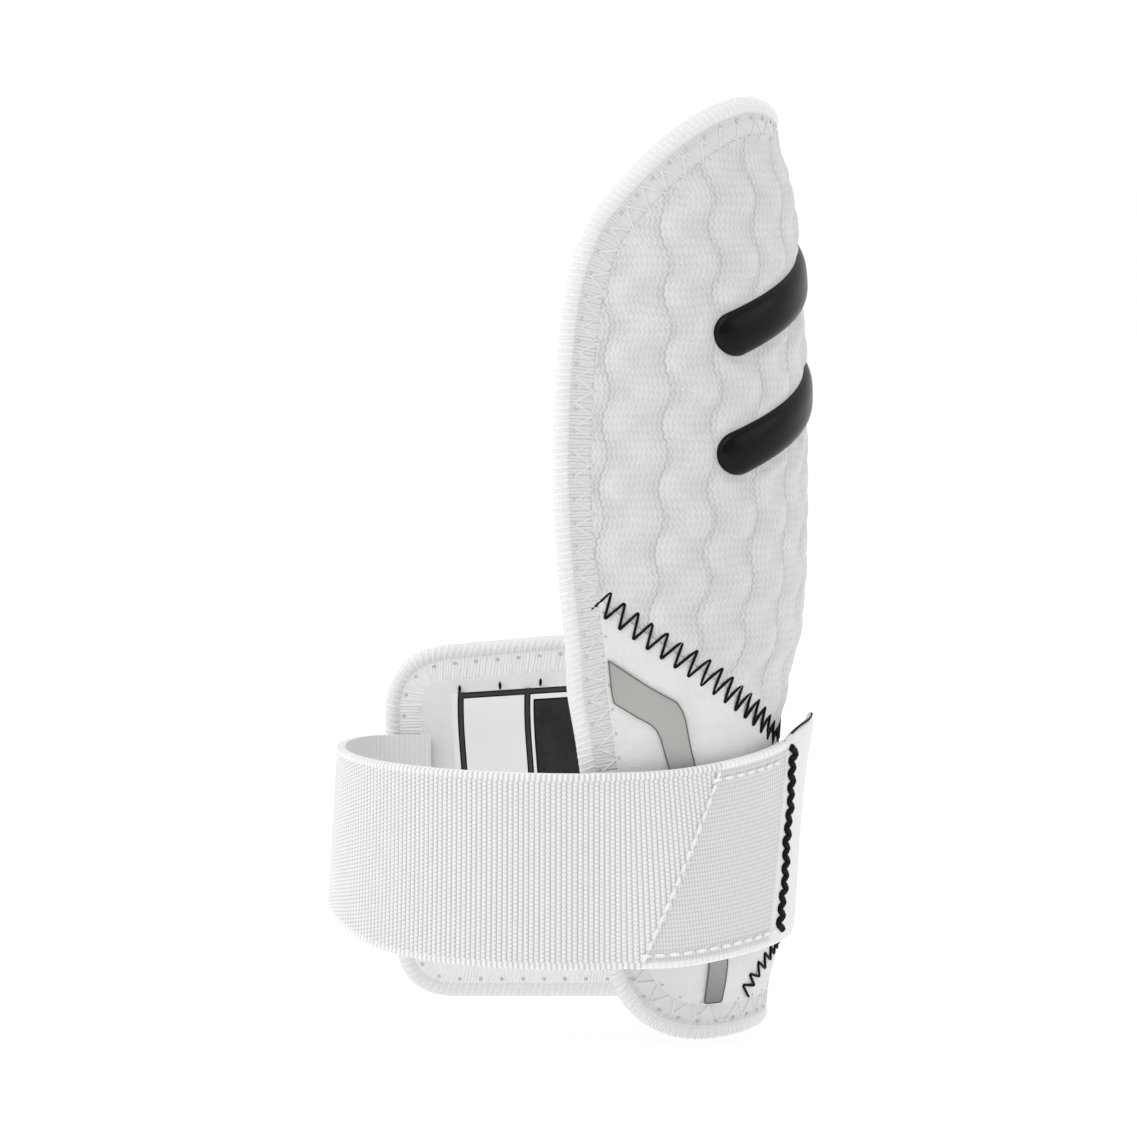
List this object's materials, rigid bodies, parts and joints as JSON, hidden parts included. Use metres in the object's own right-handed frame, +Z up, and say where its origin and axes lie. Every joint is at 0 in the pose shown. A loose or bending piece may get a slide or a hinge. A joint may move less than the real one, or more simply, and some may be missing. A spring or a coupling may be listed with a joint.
{
  "type": "batting hand protector",
  "caption": "Padded shield for the back of a batter's hand, with a bound edge, a wrist wing and an elastic strap that closes round the palm.",
  "frame": {"origin": "middle of the object's box on the surface that it stands on, at its wrist hem", "axes": "+Z up from the wrist hem to the finger end, +X out of the back of the hand and away from the strap's turn, +Y towards the far wrist wing"},
  "size_m": [0.0984, 0.0636, 0.1862],
  "materials": {
    "bubble_knit": "white spacer knit with low bubbles",
    "brushed_loop": "white brushed loop fabric",
    "overlock_edge": "white overlocked thread",
    "woven_elastic": "white woven elastic",
    "smooth_tab": "white smooth folded end",
    "hook_fabric": "white hook fabric",
    "grey_tape": "flat grey tape",
    "sewn_label": "white label with a dark frame",
    "black_rubber": "glossy black moulded rubber",
    "black_thread": "black sewing thread"
  },
  "bodies": {
    "root": {"knit_panel": "bubble_knit", "loop_panel": "brushed_loop", "edge_binding": "overlock_edge", "elastic_strap": "woven_elastic", "strap_tab": "smooth_tab", "hook_patch": "hook_fabric", "grey_tape": "grey_tape", "inner_label": "sewn_label", "rubber_bar_upper": "black_rubber", "rubber_bar_lower": "black_rubber"}
  },
  "joints": []
}
